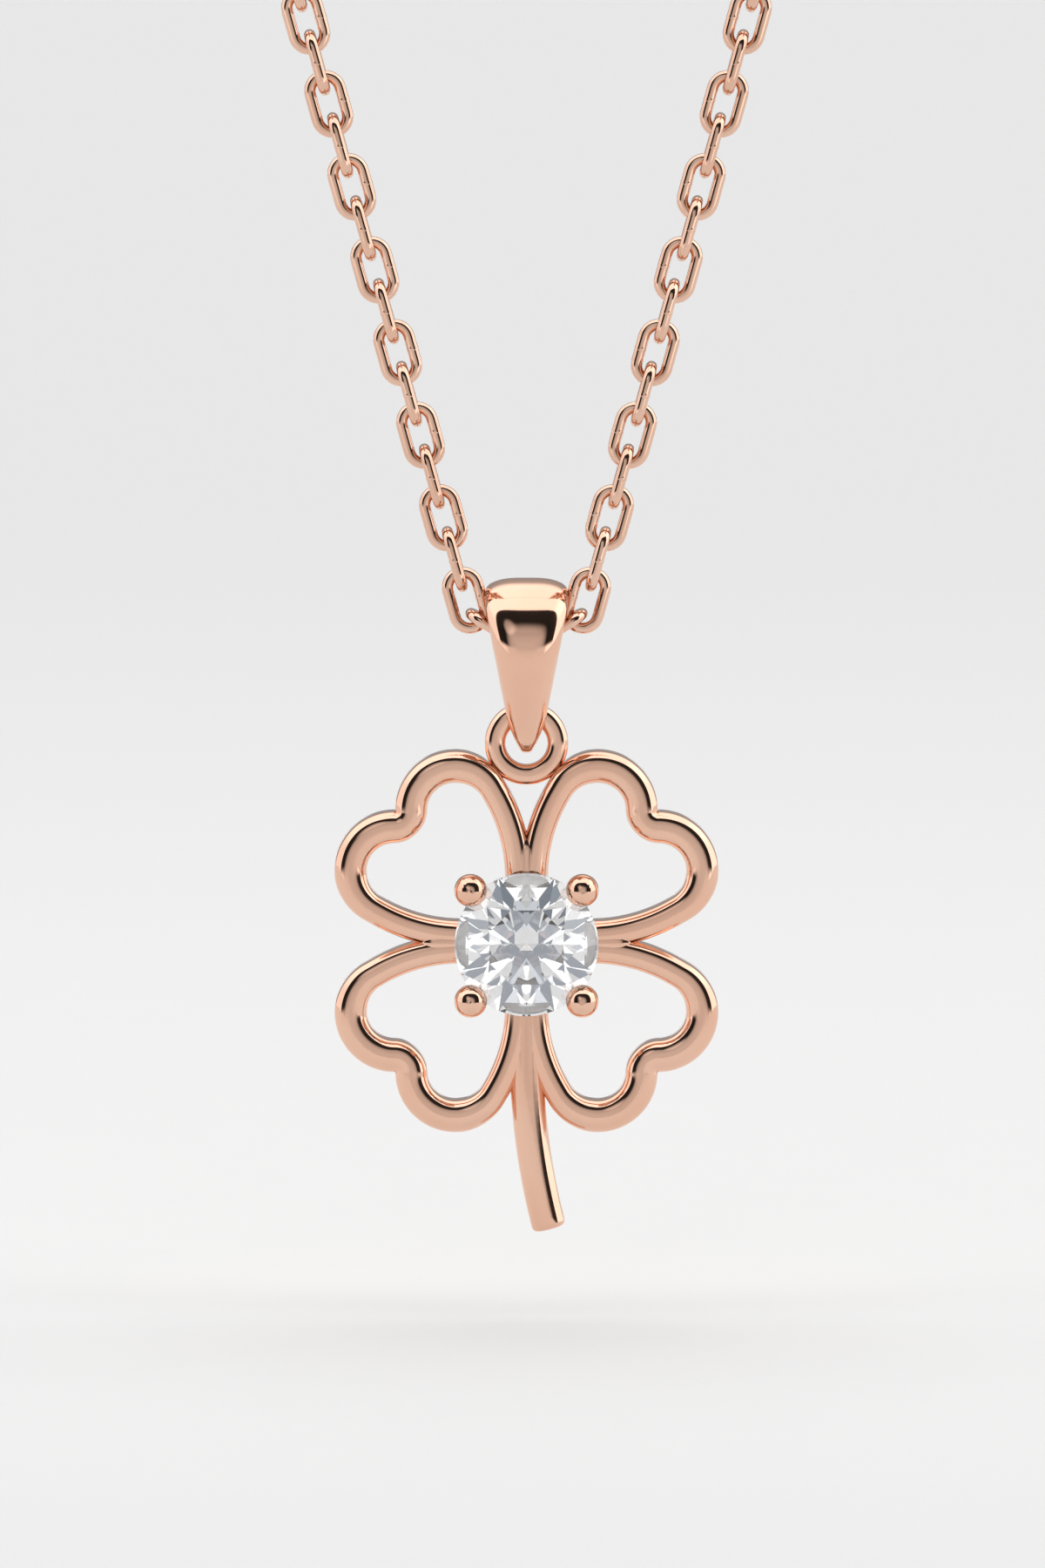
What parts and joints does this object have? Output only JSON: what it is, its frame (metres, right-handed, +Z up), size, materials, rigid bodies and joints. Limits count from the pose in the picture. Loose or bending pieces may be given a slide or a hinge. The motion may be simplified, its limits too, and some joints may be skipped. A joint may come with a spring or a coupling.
{
  "type": "four leaf clover pendant necklace",
  "caption": "Open four leaf clover pendant with a claw-set round centre stone, hung by a tapered bail on a closed cable chain.",
  "frame": {"origin": "middle of the top of the chain's loop, at the middle of the clasp, where the necklace hangs", "axes": "+Z up, pendant facing -Y, +X to the viewer's right"},
  "size_m": [0.0876, 0.0056, 0.2236],
  "materials": {
    "rose_gold": "mirror polished rose gold",
    "rose_gold_chain": "polished rose gold wire",
    "clear_stone": "cut and polished colourless stone"
  },
  "bodies": {
    "necklace_chain": {"chain_left": "rose_gold_chain", "chain_right": "rose_gold_chain", "clasp": "rose_gold_chain"},
    "bail": {"bail": "rose_gold"},
    "clover": {"clover_frame": "rose_gold", "claw_setting": "rose_gold", "stone": "clear_stone"}
  },
  "joints": [
    {"name": "bail_swing", "type": "hinge", "parent": "necklace_chain", "child": "bail", "pos_m": [0, 0, -0.19366], "axis": [1, 0, 0], "range_deg": [-60, 60]},
    {"name": "clover_swing", "type": "hinge", "parent": "bail", "child": "clover", "pos_m": [0, 0, -0.19674], "axis": [1, 0, 0], "range_deg": [-35, 35]}
  ]
}
